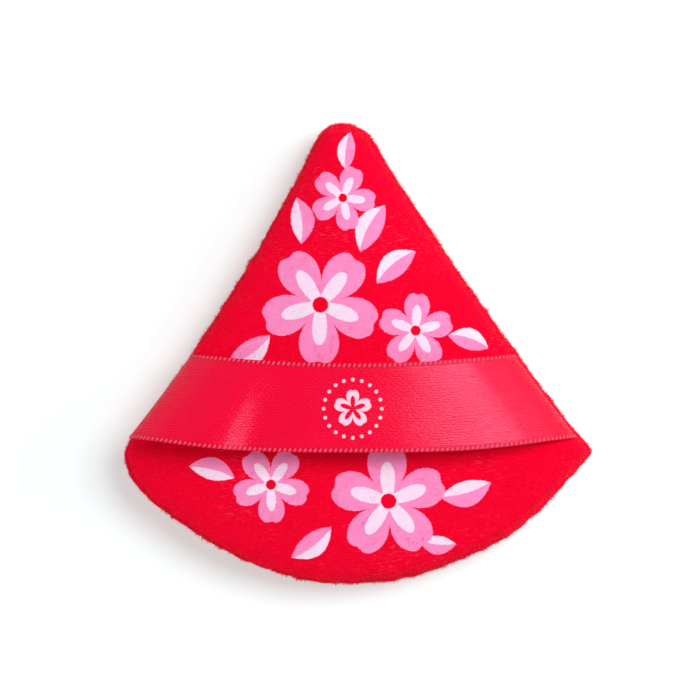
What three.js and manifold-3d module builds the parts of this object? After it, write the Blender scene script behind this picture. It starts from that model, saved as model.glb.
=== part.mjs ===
// A triangular velour powder puff lying on its powder side, in millimetres, with +Z up.
// +Y points to the apex and the finger ribbon runs along X. The middle of the outline is
// over the origin, and the powder side rests on the plane z = 0.
import * as THREE from "three";
import { mergeVertices } from "three/addons/utils/BufferGeometryUtils.js";
import Module from "manifold-3d";

const wasm = await Module();
wasm.setup();

// Outline, by its three corners before they are rounded
const cornerSpan = 81.6;
const apexHeight = 63.2;
const apexShift = -2.3;
const rightCornerRise = 0.8;
const bottomBulge = 22.2;
const bottomHandleShare = 0.265;
const leftHollow = 2.1;
const rightHollow = 1.15;
const apexCut = 13.4;
const leftCut = 4.8;
const rightCut = 0.7;

// Covers
const clothThickness = 1.2;
const seamHeight = 6.5;
const strapSideRise = 7.5;
const restFlatten = 0.5;
const crownPower = 2.5;

// Seam: the strap side's rim lies inside the powder side's, rolled to the left
const strapSideInset = 0.8;
const seamRoll = -0.2;
const strapSideLip = 1.2;
const powderSideLip = 1.6;
const allowance = 5;

// Stitching
const stitchPitch = 4;
const stitchInset = 1.1;
const threadRadius = 0.14;
const threadSeat = 0.06;
const lockArm = 0.25;
const lockDip = 0.18;
const needleHole = 0.9;
const closingFromShare = 0.66;
const closingToShare = 0.8;

// Foam
const foamClearance = 0.3;
const foamRimInset = 3.5;

// Finger ribbon
const ribbonWidth = 15;
const ribbonThickness = 0.3;
const ribbonY = -7.3;
const ribbonSag = 1.7;
const ribbonTail = 5;
const ribbonClearance = 0.4;
const fingerGap = 4.8;
const archPower = 2.5;

// Margin of the cuts, beyond the faces that they run through
const overrun = 1;

// Counts of steps
const sideSteps = 8;
const bottomSteps = 20;
const apexSteps = 6;
const leftSteps = 4;
const rightSteps = 2;
const crownSteps = 7;
const lipSteps = 2;
const threadSides = 4;
const turnSteps = 3;
const archSteps = 22;
const acrossSteps = 4;

// A side between two corners, drawn in at its middle by the hollow
function hollowSide(start, end, hollow) {
  const along = end.clone().sub(start).normalize();
  const inward = new THREE.Vector2(-along.y, along.x);
  const control = start.clone().lerp(end, 0.5).addScaledVector(inward, 2 * hollow);
  return new THREE.QuadraticBezierCurve(start, control, end);
}

// Even points on a curve, without a cut length at each end
function stretch({ curve, startCut, endCut, steps }) {
  const length = curve.getLength();
  const left = length - startCut - endCut;
  return Array.from({ length: steps + 1 }, (_, i) =>
    curve.getPointAt((startCut + (left * i) / steps) / length),
  );
}

// The outline seen from above, counter-clockwise from the right corner
function makeOutline() {
  const left = new THREE.Vector2(-cornerSpan / 2, 0);
  const right = new THREE.Vector2(cornerSpan / 2, rightCornerRise);
  const apex = new THREE.Vector2(apexShift, apexHeight);
  const handle = new THREE.Vector2(cornerSpan * bottomHandleShare, (-bottomBulge * 4) / 3);
  const leftHandle = left.clone().add(handle);
  const rightHandle = new THREE.Vector2(right.x - handle.x, right.y + handle.y);
  const sides = [
    {
      curve: hollowSide(right, apex, rightHollow),
      startCut: rightCut,
      endCut: apexCut,
      steps: sideSteps,
    },
    {
      curve: hollowSide(apex, left, leftHollow),
      startCut: apexCut,
      endCut: leftCut,
      steps: sideSteps,
    },
    {
      curve: new THREE.CubicBezierCurve(left, leftHandle, rightHandle, right),
      startCut: leftCut,
      endCut: rightCut,
      steps: bottomSteps,
    },
  ].map(stretch);
  const corners = [
    { at: apex, steps: apexSteps },
    { at: left, steps: leftSteps },
    { at: right, steps: rightSteps },
  ];
  const points = sides.flatMap((side, i) => {
    const next = sides[(i + 1) % sides.length];
    const bend = new THREE.QuadraticBezierCurve(side.at(-1), corners[i].at, next[0]);
    return [...side, ...bend.getPoints(corners[i].steps).slice(1, -1)];
  });
  const middle = new THREE.Box2().setFromPoints(points).getCenter(new THREE.Vector2());
  return points.map((point) => point.sub(middle));
}

// Distance from a place to the nearest side of the outline
function distanceToOutline(outline, place) {
  const nearest = new THREE.Vector3();
  const target = new THREE.Vector3(place.x, place.y, 0);
  const distances = outline.map((point, i) => {
    const next = outline[(i + 1) % outline.length];
    const side = new THREE.Line3(
      new THREE.Vector3(point.x, point.y, 0),
      new THREE.Vector3(next.x, next.y, 0),
    );
    return side.closestPointToPoint(target, true, nearest).distanceTo(target);
  });
  return Math.min(...distances);
}

// The largest circle inside the outline, found by ever smaller steps
function innerCircle(outline) {
  const centre = new THREE.Vector2();
  let radius = distanceToOutline(outline, centre);
  for (let step = cornerSpan / 4; step > cornerSpan * 1e-4; step /= 2) {
    for (const [dx, dy] of [[1, 0], [-1, 0], [0, 1], [0, -1], [0, -2], [0, 2]]) {
      const trial = new THREE.Vector2(centre.x + dx * step, centre.y + dy * step);
      const reached = distanceToOutline(outline, trial);
      if (reached > radius) {
        centre.copy(trial);
        radius = reached;
      }
    }
  }
  return { centre, radius };
}

const outline = makeOutline();
const { centre, radius: innerRadius } = innerCircle(outline);

// The outline drawn in by an inset, at a height. A roll of 1 follows the seam's shift.
function ring({ inset, z, roll = 1 }) {
  const scale = 1 - inset / innerRadius;
  return outline.map(
    (point) =>
      new THREE.Vector3(
        centre.x + (point.x - centre.x) * scale + seamRoll * roll,
        centre.y + (point.y - centre.y) * scale,
        z,
      ),
  );
}

// Insets and shares of height of a crown, from its upright rim to just before its middle
function crown(rimInset) {
  return Array.from({ length: crownSteps }, (_, i) => {
    const angle = (i / crownSteps) * (Math.PI / 2);
    const reachShare = Math.cos(angle) ** (2 / crownPower);
    return {
      inset: innerRadius - (innerRadius - rimInset) * reachShare,
      heightShare: Math.sin(angle) ** (2 / crownPower),
    };
  });
}

function geometryOf(points, faces) {
  const geometry = new THREE.BufferGeometry().setFromPoints(points);
  geometry.setIndex(faces.flat());
  return geometry;
}

// Joins rings of as many points into one closed skin. Its ends are capped at the middle
// of the first and last rings, or it closes on itself. Seen in section with the middle
// at the left, the skin's outer face is on the right of its way.
function loft(rings, closesOnItself = false) {
  const count = rings[0].length;
  const points = rings.flat();
  const faces = [];
  const last = closesOnItself ? rings.length : rings.length - 1;
  for (let k = 0; k < last; k++) {
    const here = k * count;
    const above = ((k + 1) % rings.length) * count;
    for (let i = 0; i < count; i++) {
      const next = (i + 1) % count;
      faces.push([here + i, here + next, above + next]);
      faces.push([here + i, above + next, above + i]);
    }
  }
  if (!closesOnItself) {
    const start = points.length;
    const end = (rings.length - 1) * count;
    points.push(middleOf(rings[0]), middleOf(rings.at(-1)));
    for (let i = 0; i < count; i++) {
      const next = (i + 1) % count;
      faces.push([start, next, i]);
      faces.push([end + i, end + next, start + 1]);
    }
  }
  return geometryOf(points, faces);
}

function middleOf(points) {
  const sum = points.reduce((total, point) => total.add(point), new THREE.Vector3());
  return sum.divideScalar(points.length);
}

function toSolid(geometry) {
  const bare = geometry.clone();
  bare.deleteAttribute("normal");
  bare.deleteAttribute("uv");
  const merged = mergeVertices(bare);
  return new wasm.Manifold(
    new wasm.Mesh({
      numProp: 3,
      vertProperties: merged.attributes.position.array,
      triVerts: new Uint32Array(merged.index.array),
    }),
  );
}

function toMesh(name, solid, look) {
  const { vertProperties, triVerts } = solid.getMesh();
  const geometry = new THREE.BufferGeometry();
  geometry.setAttribute("position", new THREE.BufferAttribute(vertProperties, 3));
  geometry.setIndex(new THREE.BufferAttribute(triVerts, 1));
  geometry.computeVertexNormals();
  const mesh = new THREE.Mesh(geometry, new THREE.MeshStandardMaterial(look));
  mesh.name = name;
  return mesh;
}

// Both covers' cloth turns in at the seam and ends at the same cut edge
const seamInset = strapSideInset + strapSideLip;
const cutEdgeInset = seamInset + allowance;
const frontOfCloth = seamHeight + clothThickness;
const backOfCloth = seamHeight - clothThickness;
const crownTop = seamHeight + strapSideRise;

// The cover on the ribbon's side, from its inner middle round the seam to its outer middle
function strapSideCover() {
  const inner = crown(strapSideInset + clothThickness).map(({ inset, heightShare }) => ({
    inset,
    z: frontOfCloth + (strapSideRise - 2 * clothThickness) * heightShare,
  }));
  const turnedIn = [
    { inset: cutEdgeInset, z: frontOfCloth },
    { inset: cutEdgeInset, z: seamHeight },
    { inset: seamInset, z: seamHeight },
  ];
  const lip = Array.from({ length: lipSteps }, (_, i) => {
    const angle = ((i + 1) / (lipSteps + 1)) * (Math.PI / 2);
    return {
      inset: strapSideInset + strapSideLip * (1 - Math.sin(angle)),
      z: seamHeight + strapSideLip * (1 - Math.cos(angle)),
    };
  });
  const outer = crown(strapSideInset).map(({ inset, heightShare }) => ({
    inset,
    z: seamHeight + strapSideLip + (strapSideRise - strapSideLip) * heightShare,
  }));
  return toSolid(loft([...inner.reverse(), ...turnedIn, ...lip, ...outer].map(ring)));
}

// The cover on the powder's side, pressed flat where it rests
function powderSideCover() {
  const rimHeight = seamHeight - powderSideLip;
  const outer = crown(0).map(({ inset, heightShare }) => ({
    inset,
    z: Math.max(0, rimHeight - (rimHeight + restFlatten) * heightShare),
    roll: 0,
  }));
  const lip = Array.from({ length: lipSteps }, (_, i) => {
    const angle = ((i + 1) / (lipSteps + 1)) * (Math.PI / 2);
    return {
      inset: seamInset * (1 - Math.cos(angle)),
      z: rimHeight + powderSideLip * Math.sin(angle),
      roll: 1 - Math.cos(angle),
    };
  });
  const turnedIn = [
    { inset: seamInset, z: seamHeight },
    { inset: cutEdgeInset, z: seamHeight },
    { inset: cutEdgeInset, z: backOfCloth },
  ];
  const depth = backOfCloth - clothThickness;
  const inner = crown(clothThickness).map(({ inset, heightShare }) => ({
    inset,
    z: Math.max(clothThickness, backOfCloth - (depth + restFlatten) * heightShare),
    roll: 0,
  }));
  return toSolid(loft([...outer.reverse(), ...lip, ...turnedIn, ...inner].map(ring)));
}

// The sponge fills both covers and closes round the cloth that is turned in
function foamCore() {
  const bottom = clothThickness + foamClearance;
  const rise = strapSideRise - clothThickness - foamClearance;
  const sink = seamHeight - bottom;
  const below = crown(foamRimInset).map(({ inset, heightShare }) => ({
    inset,
    z: Math.max(bottom, seamHeight - (sink + restFlatten) * heightShare),
  }));
  const above = crown(foamRimInset).map(({ inset, heightShare }) => ({
    inset,
    z: seamHeight + rise * heightShare,
  }));
  const body = toSolid(loft([...below.reverse(), ...above.slice(1)].map(ring)));
  const slotInset = cutEdgeInset + foamClearance;
  const slotHalf = clothThickness + threadSeat + 2 * threadRadius + foamClearance;
  const slot = [
    { inset: slotInset, z: seamHeight - slotHalf },
    { inset: 0, z: seamHeight - slotHalf },
    { inset: 0, z: seamHeight + slotHalf },
    { inset: slotInset, z: seamHeight + slotHalf },
  ].map(ring);
  return body.subtract(toSolid(loft(slot, true)));
}

// Where the strap side's rim crosses a line across the puff, at the left or the right
function rimCrossing(y, side) {
  const rim = ring({ inset: strapSideInset, z: 0 });
  const found = rim.flatMap((point, i) => {
    const next = rim[(i + 1) % rim.length];
    if ((point.y - y) * (next.y - y) > 0 || point.y === next.y) return [];
    return [point.x + ((next.x - point.x) * (y - point.y)) / (next.y - point.y)];
  });
  return side < 0 ? Math.min(...found) : Math.max(...found);
}

// One lengthwise line of the ribbon's middle layer: in the seam at the left, round the
// lip, over the crown in a loose arch, round the lip and in the seam at the right
function ribbonLine(y) {
  const leftX = rimCrossing(y, -1);
  const rightX = rimCrossing(y, 1);
  const turnRadius = ribbonClearance + ribbonThickness / 2;
  const turnHeight = seamHeight + ribbonThickness + ribbonClearance;
  const tailHeight = seamHeight + ribbonThickness / 2;
  const middleX = (leftX + rightX) / 2;
  const halfSpan = (rightX - leftX) / 2 + turnRadius;
  const archRise = crownTop + fingerGap + ribbonThickness / 2 - turnHeight;
  const endOf = (side, rimX) => {
    const tail = [
      new THREE.Vector3(rimX - side * ribbonTail, y, tailHeight),
      new THREE.Vector3(rimX, y, tailHeight),
    ];
    const turn = Array.from({ length: turnSteps }, (_, i) => {
      const angle = ((i + 1) / (turnSteps + 1)) * (Math.PI / 2);
      return new THREE.Vector3(
        rimX + side * turnRadius * Math.sin(angle),
        y,
        turnHeight - turnRadius * Math.cos(angle),
      );
    });
    return [...tail, ...turn];
  };
  const arch = Array.from({ length: archSteps + 1 }, (_, i) => {
    const angle = (i / archSteps) * Math.PI;
    const reach = Math.cos(angle);
    const reachShare = Math.sign(reach) * Math.abs(reach) ** (2 / archPower);
    return new THREE.Vector3(
      middleX - halfSpan * reachShare,
      y - ribbonSag * (1 - reachShare ** 2),
      turnHeight + archRise * Math.abs(Math.sin(angle)) ** (2 / archPower),
    );
  });
  return [...endOf(-1, leftX), ...arch, ...endOf(1, rightX).reverse()];
}

// The ribbon's two faces, half its thickness to either side of its middle layer
function fingerRibbon(holes) {
  const lines = Array.from({ length: acrossSteps + 1 }, (_, j) =>
    ribbonLine(ribbonY + ribbonWidth * (j / acrossSteps - 0.5)),
  );
  const along = lines[0].length;
  const sections = Array.from({ length: along }, (_, i) => {
    const faces = lines.map((line, j) => {
      const ahead = line[Math.min(i + 1, along - 1)];
      const behind = line[Math.max(i - 1, 0)];
      const before = lines[Math.max(j - 1, 0)][i];
      const after = lines[Math.min(j + 1, acrossSteps)][i];
      const out = ahead
        .clone()
        .sub(behind)
        .cross(after.clone().sub(before))
        .setLength(ribbonThickness / 2);
      return { under: line[i].clone().sub(out), over: line[i].clone().add(out) };
    });
    return [...faces.map(({ under }) => under).reverse(), ...faces.map(({ over }) => over)];
  });
  return toSolid(tube(sections)).subtract(holes);
}

// Skins sections of as many points, and closes the first and last with a fan
function tube(sections) {
  const count = sections[0].length;
  const points = sections.flat();
  const faces = [];
  for (let k = 0; k < sections.length - 1; k++) {
    for (let i = 0; i < count; i++) {
      const next = (i + 1) % count;
      const here = k * count;
      const ahead = here + count;
      faces.push([here + i, ahead + next, here + next]);
      faces.push([here + i, ahead + i, ahead + next]);
    }
  }
  const end = (sections.length - 1) * count;
  for (let i = 0; i < count / 2 - 1; i++) {
    const far = count - 1 - i;
    faces.push([i, i + 1, far - 1], [i, far - 1, far]);
    faces.push([end + i, end + far - 1, end + i + 1], [end + i, end + far, end + far - 1]);
  }
  return geometryOf(points, faces);
}

// The shallow pocket in the turned-in cloth that holds one tail of the ribbon
function tailPocket(side) {
  const halfWidth = ribbonWidth / 2 + ribbonClearance;
  const plan = new THREE.Shape();
  const corners = [ribbonY - halfWidth, ribbonY + halfWidth].map((y) => ({
    y,
    rimX: rimCrossing(y, side),
  }));
  const inner = ({ rimX, y }) => [rimX - side * (ribbonTail + ribbonClearance), y];
  const outer = ({ rimX, y }) => [rimX + side * overrun, y];
  plan.moveTo(...inner(corners[0]));
  plan.lineTo(...outer(corners[0]));
  plan.lineTo(...outer(corners[1]));
  plan.lineTo(...inner(corners[1]));
  plan.closePath();
  const pocket = new THREE.ExtrudeGeometry(plan, {
    depth: ribbonThickness + overrun,
    bevelEnabled: false,
  });
  return toSolid(pocket.translate(0, 0, seamHeight - overrun));
}

// The row of stitches: places with the seam's direction and the way in from it
function stitchPlaces() {
  const line = new THREE.CatmullRomCurve3(
    ring({ inset: seamInset + stitchInset, z: seamHeight }),
    true,
  );
  const count = Math.round(line.getLength() / stitchPitch);
  return Array.from({ length: count }, (_, i) => {
    const share = i / count;
    const along = line.getTangentAt(share).setZ(0).normalize();
    return {
      share,
      at: line.getPointAt(share),
      along,
      inward: new THREE.Vector3(-along.y, along.x, 0),
    };
  });
}

// A point of a thread, by its offsets from a stitch's place
function threadPoint({ at, along, inward }, ahead, aside, up) {
  return at
    .clone()
    .addScaledVector(along, ahead)
    .addScaledVector(inward, aside)
    .setZ(seamHeight + up);
}

// One of the two threads of a lock stitch. The needle's thread lies on the strap side
// and dips in each hole, and the bobbin's is its mirror image, so that they clasp.
const threadLevel = clothThickness + threadSeat + threadRadius;
function lockThread(stitches, side) {
  return strand(
    stitches.flatMap((stitch) => [
      threadPoint(stitch, -lockArm, -lockArm * side, threadLevel * side),
      threadPoint(stitch, -lockArm, -lockArm * side, -lockDip * side),
      threadPoint(stitch, lockArm, lockArm * side, -lockDip * side),
      threadPoint(stitch, lockArm, lockArm * side, threadLevel * side),
    ]),
    stitches[0].inward,
  );
}

// The one thread that closes the turning gap, up and down through both covers
function closingThread(stitches) {
  return strand(
    stitches.flatMap((stitch, i) => {
      const side = i % 2 ? -1 : 1;
      return [
        threadPoint(stitch, 0, 0, threadLevel * side),
        threadPoint(stitch, 0, 0, -threadLevel * side),
      ];
    }),
    stitches[0].inward,
  );
}

// A thread along points, with its section carried unturned from one to the next. The
// section starts with one corner across the way of the first points.
function strand(points, startAcross) {
  let across = startAcross;
  const sections = points.map((point, i) => {
    const ahead = points[Math.min(i + 1, points.length - 1)];
    const behind = points[Math.max(i - 1, 0)];
    const toNext = ahead.clone().sub(point).normalize();
    const fromLast = point.clone().sub(behind).normalize();
    const along = toNext.add(fromLast).normalize();
    across = across.clone().addScaledVector(along, -across.dot(along)).normalize();
    const aside = along.clone().cross(across);
    return Array.from({ length: threadSides }, (_, k) => {
      const angle = (k / threadSides) * 2 * Math.PI;
      return point
        .clone()
        .addScaledVector(across, threadRadius * Math.cos(angle))
        .addScaledVector(aside, -threadRadius * Math.sin(angle));
    });
  });
  return toSolid(tube(sections));
}

// The needle's holes, through both covers and the ribbon's tails
function needleHoles(places) {
  const height = 2 * (clothThickness + overrun);
  return places
    .map(({ at, along }) => {
      const hole = new THREE.BoxGeometry(needleHole, needleHole, height);
      hole.rotateZ(Math.atan2(along.y, along.x));
      return toSolid(hole.translate(at.x, at.y, at.z));
    })
    .reduce((all, hole) => all.add(hole));
}

// Stitches in sewing order, from the end of the turning gap round to its start
const places = stitchPlaces();
const inGap = ({ share }) => share > closingFromShare && share < closingToShare;
const gapEnd = places.findLastIndex(inGap) + 1;
const sewn = [...places.slice(gapEnd), ...places.slice(0, gapEnd)];
const lockStitches = sewn.filter((place) => !inGap(place));
const closingStitches = sewn.filter(inGap);

const holes = needleHoles(places);
const strapSide = strapSideCover()
  .subtract(tailPocket(-1))
  .subtract(tailPocket(1))
  .subtract(holes);

const red = { color: 0xf3092f, roughness: 0.95, metalness: 0 };
const satin = { color: 0xe7052b, roughness: 0.35, metalness: 0 };
const sponge = { color: 0xf7e4dc, roughness: 0.9, metalness: 0 };
const thread = { color: 0xd80a2c, roughness: 0.6, metalness: 0 };

const puff = new THREE.Group();
puff.add(
  toMesh("strap_side_cover", strapSide, red),
  toMesh("powder_side_cover", powderSideCover().subtract(holes), red),
  toMesh("foam_core", foamCore(), sponge),
  toMesh("finger_ribbon", fingerRibbon(holes), satin),
  toMesh("seam_needle_thread", lockThread(lockStitches, 1), thread),
  toMesh("seam_bobbin_thread", lockThread(lockStitches, -1), thread),
  toMesh("closing_thread", closingThread(closingStitches), thread),
);

export default puff;
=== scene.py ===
# A triangular velour powder puff that lies on its powder side, with a satin finger ribbon.
import math

import bpy
import numpy as np
from mathutils import Matrix, Vector, noise


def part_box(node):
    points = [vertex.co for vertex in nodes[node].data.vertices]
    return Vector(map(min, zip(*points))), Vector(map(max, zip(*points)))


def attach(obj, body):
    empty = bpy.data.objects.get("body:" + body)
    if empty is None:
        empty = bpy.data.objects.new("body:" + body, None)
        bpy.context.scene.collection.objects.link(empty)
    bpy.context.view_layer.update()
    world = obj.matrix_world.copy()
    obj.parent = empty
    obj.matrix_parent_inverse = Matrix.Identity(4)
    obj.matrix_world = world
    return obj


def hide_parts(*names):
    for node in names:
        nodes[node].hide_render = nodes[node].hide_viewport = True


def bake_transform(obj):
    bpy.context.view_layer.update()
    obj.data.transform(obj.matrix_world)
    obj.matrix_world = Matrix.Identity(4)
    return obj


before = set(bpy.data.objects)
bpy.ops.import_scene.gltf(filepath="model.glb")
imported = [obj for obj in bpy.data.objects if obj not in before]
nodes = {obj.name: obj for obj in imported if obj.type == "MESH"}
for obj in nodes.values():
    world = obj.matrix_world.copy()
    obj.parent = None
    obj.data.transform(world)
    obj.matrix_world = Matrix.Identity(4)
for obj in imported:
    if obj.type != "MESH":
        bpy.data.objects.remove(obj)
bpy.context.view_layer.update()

# Cover on the ribbon's side. A panel of knitted polyester velour is cut to a paper
# pattern, sewn to the other cover with the right sides together and turned, so that
# its allowance lies inside the seam. The foam lifts it into a low crown.
mm = 0.001

# the paper pattern, by its three corners before they are rounded
corner_span = 81.6 * mm
apex_height = 63.2 * mm
apex_shift = -2.3 * mm
right_corner_rise = 0.8 * mm
bottom_bulge = 22.2 * mm
bottom_handle_share = 0.265
left_hollow, right_hollow = 2.1 * mm, 1.15 * mm
left_cut, apex_cut, right_cut = 4.8 * mm, 13.4 * mm, 0.7 * mm
rim_points = 320
side_points = 400

seam_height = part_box("strap_side_cover")[0][2]
seam_roll = -0.2 * mm
seam_inset = 2.0 * mm
cut_edge_inset = 7.0 * mm
cloth_thickness = 0.9 * mm
pile_base = 0.05 * mm
crown_power = 2.5
strap_rim_inset = 0.8 * mm
strap_lip = 1.2 * mm
strap_crown_rise = 6.3 * mm


def curve_through(*controls):
    """Points on the Bezier curve that has these control points."""
    share = np.linspace(0, 1, 600)[:, None]
    rows = [np.repeat([control], len(share), axis=0) for control in controls]
    while len(rows) > 1:
        rows = [first + (second - first) * share for first, second in zip(rows, rows[1:])]
    return rows[0]


def hollow_side(start, end, hollow):
    """A side between two corners, drawn in at its middle by the hollow."""
    along = (end - start) / np.linalg.norm(end - start)
    inward = np.array((-along[1], along[0]))
    return curve_through(start, (start + end) / 2 + 2 * hollow * inward, end)


def even_points(line, start_cut, end_cut, count):
    """Points at even distances along a line, without a cut length at each end."""
    walked = np.r_[0, np.cumsum(np.linalg.norm(np.diff(line, axis=0), axis=1))]
    stops = np.linspace(start_cut, walked[-1] - end_cut, count)
    return np.column_stack([np.interp(stops, walked, line[:, i]) for i in (0, 1)])


def cut_pattern():
    """The outline seen from above, counter-clockwise from its right corner."""
    left = np.array((-corner_span / 2, 0))
    right = np.array((corner_span / 2, right_corner_rise))
    apex = np.array((apex_shift, apex_height))
    handle = np.array((corner_span * bottom_handle_share, -bottom_bulge * 4 / 3))
    bottom = curve_through(left, left + handle, right + handle * (-1, 1), right)
    sides = [
        even_points(line, first_cut, last_cut, side_points)
        for line, first_cut, last_cut in (
            (hollow_side(right, apex, right_hollow), right_cut, apex_cut),
            (hollow_side(apex, left, left_hollow), apex_cut, left_cut),
            (bottom, left_cut, right_cut),
        )
    ]
    fine = []
    for side, corner, following in zip(sides, (apex, left, right), sides[1:] + sides[:1]):
        fine += [side, curve_through(side[-1], corner, following[0])[1:]]
    fine = np.vstack(fine)
    fine -= (fine.min(axis=0) + fine.max(axis=0)) / 2
    return even_points(fine, 0, 0, rim_points + 1)[:-1]


def inner_circle(outline):
    """The largest circle inside the outline, found by ever smaller steps."""
    middle, radius, step = np.zeros(2), 0, corner_span / 4
    while step > corner_span * 1e-4:
        for way in ((1, 0), (-1, 0), (0, 1), (0, -1), (0, -2), (0, 2)):
            trial = middle + np.multiply(way, step)
            reached = np.linalg.norm(outline - trial, axis=1).min()
            if reached > radius:
                middle, radius = trial, reached
        step /= 2
    return middle, radius


outline = cut_pattern()
pattern_middle, pattern_radius = inner_circle(outline)


def draw_ring(inset, roll=1):
    """The outline drawn in towards its middle. A roll of 1 follows the seam's shift."""
    share = 1 - inset / pattern_radius
    return pattern_middle + (outline - pattern_middle) * share + (seam_roll * roll, 0)


def reach_share(places):
    """How far places lie out from the middle, where 1 is the outline."""
    rays = outline - pattern_middle
    angles = np.arctan2(rays[:, 1], rays[:, 0])
    order = np.argsort(angles)
    from_middle = places[:, :2] - pattern_middle - (seam_roll, 0)
    edge = np.interp(
        np.arctan2(from_middle[:, 1], from_middle[:, 0]),
        angles[order],
        np.linalg.norm(rays, axis=1)[order],
        period=2 * math.pi,
    )
    return np.linalg.norm(from_middle, axis=1) / edge


def crown_rings(rim_inset, steps=16, last_angle=72):
    """Insets and shares of height of a crown, from its rim to where it is nearly level."""
    rings = []
    for i in range(1, steps + 1):
        angle = math.radians(last_angle * i / steps)
        reach = math.cos(angle) ** (2 / crown_power)
        inset = pattern_radius - (pattern_radius - rim_inset) * reach
        rings.append((inset, math.sin(angle) ** (2 / crown_power)))
    return rings


def crown_share(reach, rim_inset):
    """The same crown's share of height at a share of reach."""
    rim = 1 - rim_inset / pattern_radius
    return np.clip(1 - (reach / rim) ** crown_power, 0, 1) ** (1 / crown_power)


def lip_rings(start, end, steps, bulge):
    """A quarter turn of cloth from start to end, both (inset, height, roll)."""
    rings = []
    for i in range(1, steps):
        angle = math.pi / 2 * i / steps
        out, up = (math.sin(angle), 1 - math.cos(angle))
        if not bulge:
            out, up = (1 - math.cos(angle), math.sin(angle))
        rings.append((
            start[0] + (end[0] - start[0]) * out,
            start[1] + (end[1] - start[1]) * up,
            start[2] + (end[2] - start[2]) * out,
        ))
    return rings


def coordinates(mesh):
    flat = np.empty(len(mesh.vertices) * 3)
    mesh.vertices.foreach_get("co", flat)
    return flat.reshape(-1, 3)


def place_vertices(mesh, places):
    mesh.vertices.foreach_set("co", np.asarray(places, dtype=np.float32).ravel())
    mesh.update()


def select_only(piece):
    bpy.ops.object.select_all(action="DESELECT")
    piece.select_set(True)
    bpy.context.view_layer.objects.active = piece


def extrude_rings(name, rings, close_start=False):
    """Draws a loop on the pattern's outline ring by ring through (inset, height, roll)
    and closes its middle with a patch of cloth."""
    bpy.ops.object.select_all(action="DESELECT")
    bpy.ops.mesh.primitive_circle_add(vertices=rim_points, radius=pattern_radius)
    piece = bpy.context.object
    piece.name = piece.data.name = name
    inset, height, roll = rings[0]
    start = np.column_stack([draw_ring(inset, roll), np.full(rim_points, height)])
    place_vertices(piece.data, start)
    bpy.ops.object.mode_set(mode="EDIT")
    bpy.ops.mesh.select_mode(type="EDGE")
    bpy.ops.mesh.select_all(action="SELECT")
    for next_inset, next_height, next_roll in rings[1:]:
        move = (seam_roll * (next_roll - roll), 0, next_height - height)
        bpy.ops.mesh.extrude_region_move(TRANSFORM_OT_translate={"value": move})
        share = (pattern_radius - next_inset) / (pattern_radius - inset)
        middle = (pattern_middle[0] + seam_roll * next_roll, pattern_middle[1], next_height)
        bpy.ops.transform.resize(value=(share, share, 1), center_override=middle)
        inset, height, roll = next_inset, next_height, next_roll
    bpy.ops.mesh.fill_grid(span=rim_points // 4)
    if close_start:
        bpy.ops.mesh.select_all(action="DESELECT")
        bpy.ops.mesh.select_non_manifold(
            extend=False, use_wire=False, use_multi_face=False, use_non_contiguous=False,
            use_verts=False,
        )
        bpy.ops.mesh.fill_grid(span=rim_points // 4)
    bpy.ops.mesh.select_all(action="SELECT")
    bpy.ops.mesh.normals_make_consistent(inside=False)
    bpy.ops.object.mode_set(mode="OBJECT")
    return piece


def face_outwards(piece, up):
    """Turns the skin's faces so that those in its middle look up (1) or down (-1)."""
    middle = min(piece.data.polygons, key=lambda face: Vector(face.center[:2]).length)
    if middle.normal.z * up < 0:
        piece.data.flip_normals()


def billow(piece, pinned_reach, free_reach, most):
    """Blows the cloth up from inside, as the foam does, with its seam held still."""
    rest = coordinates(piece.data)
    reach = reach_share(rest)
    held = np.clip((reach - free_reach) / (pinned_reach - free_reach), 0, 1)
    seam = piece.vertex_groups.new(name="seam")
    for index, weight in enumerate(held):
        if weight > 0:
            seam.add([index], float(weight), "REPLACE")
    workshop_scale, cloth_steps = 5, 20
    select_only(piece)
    piece.data.transform(Matrix.Scale(workshop_scale, 4))
    bpy.ops.object.modifier_add(type="CLOTH")
    cloth = piece.modifiers["Cloth"]
    cloth.settings.quality = 6
    cloth.settings.mass = 0.3
    cloth.settings.use_pressure = True
    cloth.settings.uniform_pressure_force = 4
    cloth.settings.vertex_group_mass = "seam"
    cloth.settings.effector_weights.gravity = 0
    cloth.collision_settings.use_collision = False
    cloth.point_cache.frame_end = cloth_steps
    for step in range(1, cloth_steps + 1):
        bpy.context.scene.frame_set(step)
    bpy.ops.object.modifier_apply(modifier="Cloth")
    bpy.context.scene.frame_set(1)
    piece.data.transform(Matrix.Scale(1 / workshop_scale, 4))
    moved = coordinates(piece.data) - rest
    lengths = np.linalg.norm(moved, axis=1, keepdims=True)
    slowed = most * np.tanh(lengths / most) / np.maximum(lengths, 1e-9)
    place_vertices(piece.data, rest + moved * slowed)


# where the filling pushes the rim out: (x, y), how far round the rim, and by how much
full_places = (
    ((-36.5 * mm, -24.0 * mm), 6.0 * mm, 0.75 * mm),
    ((27.0 * mm, -31.0 * mm), 8.0 * mm, 0.5 * mm),
    ((-8.0 * mm, -39.2 * mm), 4.5 * mm, 0.2 * mm),
    ((-0.5 * mm, -39.5 * mm), 6.0 * mm, 0.12 * mm),
    ((7.0 * mm, -39.2 * mm), 4.5 * mm, 0.2 * mm),
    ((39.4 * mm, -16.7 * mm), 2.6 * mm, 0.45 * mm),
    ((-6.2 * mm, 37.0 * mm), 2.6 * mm, 0.6 * mm),
    ((2.4 * mm, 37.4 * mm), 2.6 * mm, 0.6 * mm),
)
# the folds that the sewing leaves in the rim: how deep, and how close, per metre
pucker_depth = 0.28 * mm
wide_folds, narrow_folds = 430, 900


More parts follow.
